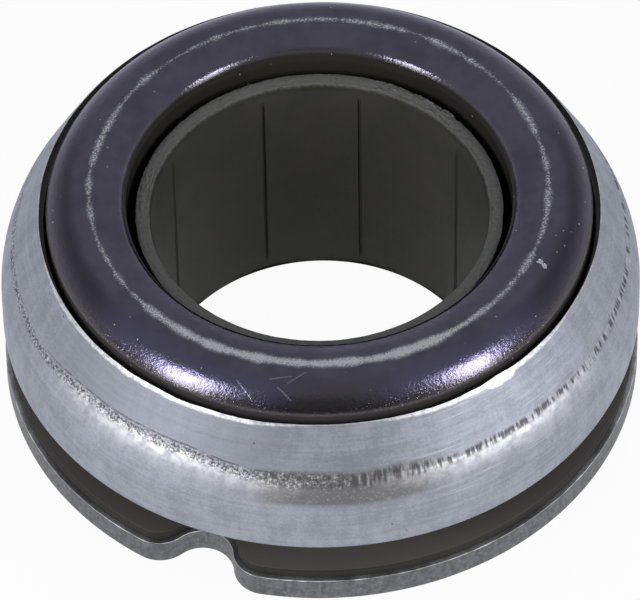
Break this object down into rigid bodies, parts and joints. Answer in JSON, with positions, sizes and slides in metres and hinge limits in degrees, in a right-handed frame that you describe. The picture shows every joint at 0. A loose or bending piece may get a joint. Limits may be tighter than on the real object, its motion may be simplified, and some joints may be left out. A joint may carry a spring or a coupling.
{
  "type": "clutch release bearing",
  "caption": "Clutch release bearing: crowned contact ring turning in a steel casing, self-centring on a moulded guide sleeve with a notched fork plate.",
  "frame": {"origin": "on the bearing's axis at the lower end of the guide sleeve", "axes": "+Z along the axis towards the clutch; the plate's notch lies at 113 degrees from +X towards -Y"},
  "size_m": [0.069, 0.069, 0.0333],
  "materials": {
    "black_moulding": "matt glass-filled moulding with a rough upper end",
    "plate_steel": "pressed plate with a sheared edge",
    "blued_steel": "heat-treated, blue-grey",
    "polished_blued_steel": "polished blue-black with a worn contact circle",
    "casing_steel": "bare drawn sheet",
    "ball_steel": "ground and polished",
    "cage_polyamide": "moulded",
    "seal_rubber": "matt",
    "spring_steel": "rolled strip"
  },
  "bodies": {
    "sleeve": {"guide_sleeve": "black_moulding", "fork_plate": "plate_steel", "retaining_ring": "spring_steel"},
    "washer": {"wave_washer": "spring_steel"},
    "bearing": {"outer_race": "blued_steel", "casing": "casing_steel", "top_seal": "seal_rubber", "lower_seal": "seal_rubber"},
    "ring": {"contact_ring": "polished_blued_steel"},
    "cage": {"ball_cage": "cage_polyamide"},
    "ball_1": {"ball_1": "ball_steel"},
    "ball_2": {"ball_2": "ball_steel"},
    "ball_3": {"ball_3": "ball_steel"},
    "ball_4": {"ball_4": "ball_steel"},
    "ball_5": {"ball_5": "ball_steel"},
    "ball_6": {"ball_6": "ball_steel"},
    "ball_7": {"ball_7": "ball_steel"},
    "ball_8": {"ball_8": "ball_steel"},
    "ball_9": {"ball_9": "ball_steel"},
    "ball_10": {"ball_10": "ball_steel"},
    "ball_11": {"ball_11": "ball_steel"},
    "ball_12": {"ball_12": "ball_steel"},
    "ball_13": {"ball_13": "ball_steel"},
    "ball_14": {"ball_14": "ball_steel"},
    "ball_15": {"ball_15": "ball_steel"}
  },
  "joints": [
    {"name": "float_x", "type": "slide", "parent": "sleeve", "child": "washer", "axis": [1, 0, 0], "range_m": [-0.0005, 0.0005]},
    {"name": "float_y", "type": "slide", "parent": "washer", "child": "bearing", "axis": [0, 1, 0], "range_m": [-0.0005, 0.0005]},
    {"name": "ring_spin", "type": "hinge", "parent": "bearing", "child": "ring", "pos_m": [0, 0, 0.0252], "axis": [0, 0, 1], "continuous": true},
    {"name": "cage_spin", "type": "hinge", "parent": "bearing", "child": "cage", "pos_m": [0, 0, 0.0252], "axis": [0, 0, 1], "continuous": true},
    {"name": "ball_1_roll", "type": "hinge", "parent": "cage", "child": "ball_1", "pos_m": [0.0266, 0, 0.0252], "axis": [0.7071, 0, 0.7071], "continuous": true},
    {"name": "ball_2_roll", "type": "hinge", "parent": "cage", "child": "ball_2", "pos_m": [0.0243, 0.01082, 0.0252], "axis": [0.646, 0.2876, 0.7071], "continuous": true},
    {"name": "ball_3_roll", "type": "hinge", "parent": "cage", "child": "ball_3", "pos_m": [0.0178, 0.01977, 0.0252], "axis": [0.4731, 0.5255, 0.7071], "continuous": true},
    {"name": "ball_4_roll", "type": "hinge", "parent": "cage", "child": "ball_4", "pos_m": [0.00822, 0.0253, 0.0252], "axis": [0.2185, 0.6725, 0.7071], "continuous": true},
    {"name": "ball_5_roll", "type": "hinge", "parent": "cage", "child": "ball_5", "pos_m": [-0.00278, 0.02646, 0.0252], "axis": [-0.0739, 0.7032, 0.7071], "continuous": true},
    {"name": "ball_6_roll", "type": "hinge", "parent": "cage", "child": "ball_6", "pos_m": [-0.0133, 0.02304, 0.0252], "axis": [-0.3536, 0.6124, 0.7071], "continuous": true},
    {"name": "ball_7_roll", "type": "hinge", "parent": "cage", "child": "ball_7", "pos_m": [-0.02152, 0.01564, 0.0252], "axis": [-0.5721, 0.4156, 0.7071], "continuous": true},
    {"name": "ball_8_roll", "type": "hinge", "parent": "cage", "child": "ball_8", "pos_m": [-0.02602, 0.00553, 0.0252], "axis": [-0.6917, 0.147, 0.7071], "continuous": true},
    {"name": "ball_9_roll", "type": "hinge", "parent": "cage", "child": "ball_9", "pos_m": [-0.02602, -0.00553, 0.0252], "axis": [-0.6917, -0.147, 0.7071], "continuous": true},
    {"name": "ball_10_roll", "type": "hinge", "parent": "cage", "child": "ball_10", "pos_m": [-0.02152, -0.01564, 0.0252], "axis": [-0.5721, -0.4156, 0.7071], "continuous": true},
    {"name": "ball_11_roll", "type": "hinge", "parent": "cage", "child": "ball_11", "pos_m": [-0.0133, -0.02304, 0.0252], "axis": [-0.3536, -0.6124, 0.7071], "continuous": true},
    {"name": "ball_12_roll", "type": "hinge", "parent": "cage", "child": "ball_12", "pos_m": [-0.00278, -0.02646, 0.0252], "axis": [-0.0739, -0.7032, 0.7071], "continuous": true},
    {"name": "ball_13_roll", "type": "hinge", "parent": "cage", "child": "ball_13", "pos_m": [0.00822, -0.0253, 0.0252], "axis": [0.2185, -0.6725, 0.7071], "continuous": true},
    {"name": "ball_14_roll", "type": "hinge", "parent": "cage", "child": "ball_14", "pos_m": [0.0178, -0.01977, 0.0252], "axis": [0.4731, -0.5255, 0.7071], "continuous": true},
    {"name": "ball_15_roll", "type": "hinge", "parent": "cage", "child": "ball_15", "pos_m": [0.0243, -0.01082, 0.0252], "axis": [0.646, -0.2876, 0.7071], "continuous": true}
  ],
  "couplings": [
    {"joint": "cage_spin", "follows": "ring_spin", "ratio": 0.45253},
    {"joint": "ball_1_roll", "follows": "ring_spin", "ratio": -3.6901},
    {"joint": "ball_2_roll", "follows": "ring_spin", "ratio": -3.6901},
    {"joint": "ball_3_roll", "follows": "ring_spin", "ratio": -3.6901},
    {"joint": "ball_4_roll", "follows": "ring_spin", "ratio": -3.6901},
    {"joint": "ball_5_roll", "follows": "ring_spin", "ratio": -3.6901},
    {"joint": "ball_6_roll", "follows": "ring_spin", "ratio": -3.6901},
    {"joint": "ball_7_roll", "follows": "ring_spin", "ratio": -3.6901},
    {"joint": "ball_8_roll", "follows": "ring_spin", "ratio": -3.6901},
    {"joint": "ball_9_roll", "follows": "ring_spin", "ratio": -3.6901},
    {"joint": "ball_10_roll", "follows": "ring_spin", "ratio": -3.6901},
    {"joint": "ball_11_roll", "follows": "ring_spin", "ratio": -3.6901},
    {"joint": "ball_12_roll", "follows": "ring_spin", "ratio": -3.6901},
    {"joint": "ball_13_roll", "follows": "ring_spin", "ratio": -3.6901},
    {"joint": "ball_14_roll", "follows": "ring_spin", "ratio": -3.6901},
    {"joint": "ball_15_roll", "follows": "ring_spin", "ratio": -3.6901}
  ]
}
